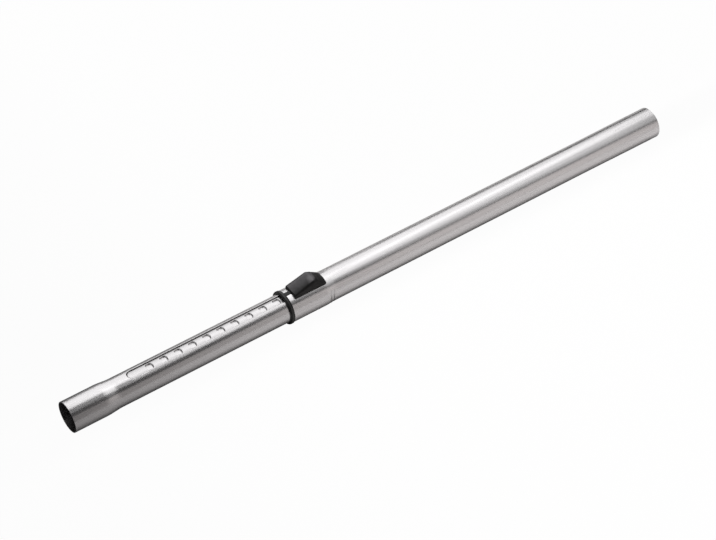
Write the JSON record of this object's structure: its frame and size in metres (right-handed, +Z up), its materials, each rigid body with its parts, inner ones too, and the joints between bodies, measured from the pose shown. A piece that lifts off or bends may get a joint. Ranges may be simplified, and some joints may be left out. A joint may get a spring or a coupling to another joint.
{
  "type": "telescopic vacuum wand",
  "caption": "Brushed steel telescopic tube with a spigot end, a socket end, a pressed locking groove, a black collar and a sliding thumb latch.",
  "frame": {"origin": "centre of the handle socket's open mouth", "axes": "+X along the wand, out of the handle socket; +Z up through the thumb slide"},
  "size_m": [0.766, 0.0382, 0.047],
  "materials": {
    "tube_steel": "brushed lengthwise, satin",
    "black_plastic": "fine moulded texture",
    "pawl_plastic": "plain acetal",
    "pin_steel": "ground",
    "spring_steel": "drawn wire",
    "felt": "pressed felt",
    "seal_rubber": "soft rubber"
  },
  "bodies": {
    "outer": {"outer_tube": "tube_steel", "guide_sleeve": "black_plastic", "wiper_ring": "felt", "return_spring": "spring_steel"},
    "inner": {"inner_tube": "tube_steel", "rear_bush": "black_plastic", "rear_seal": "seal_rubber"},
    "thumb_slide": {"slide_button": "black_plastic"},
    "pawl": {"lock_pawl": "pawl_plastic", "pawl_pin": "pin_steel"}
  },
  "joints": [
    {"name": "wand_slide", "type": "slide", "parent": "outer", "child": "inner", "axis": [-1, 0, 0], "range_m": [-0.1914, 0.1566]},
    {"name": "button_slide", "type": "slide", "parent": "outer", "child": "thumb_slide", "axis": [1, 0, 0], "range_m": [0, 0.005], "stiffness_N_per_m": 250, "springref_m": 0.009, "deforming": ["return_spring"]},
    {"name": "pawl_drop", "type": "slide", "parent": "outer", "child": "pawl", "axis": [0, 0, -1], "range_m": [0, 0.0017]}
  ],
  "couplings": [
    {"joint": "pawl_drop", "follows": "button_slide", "ratio": 0.34}
  ]
}
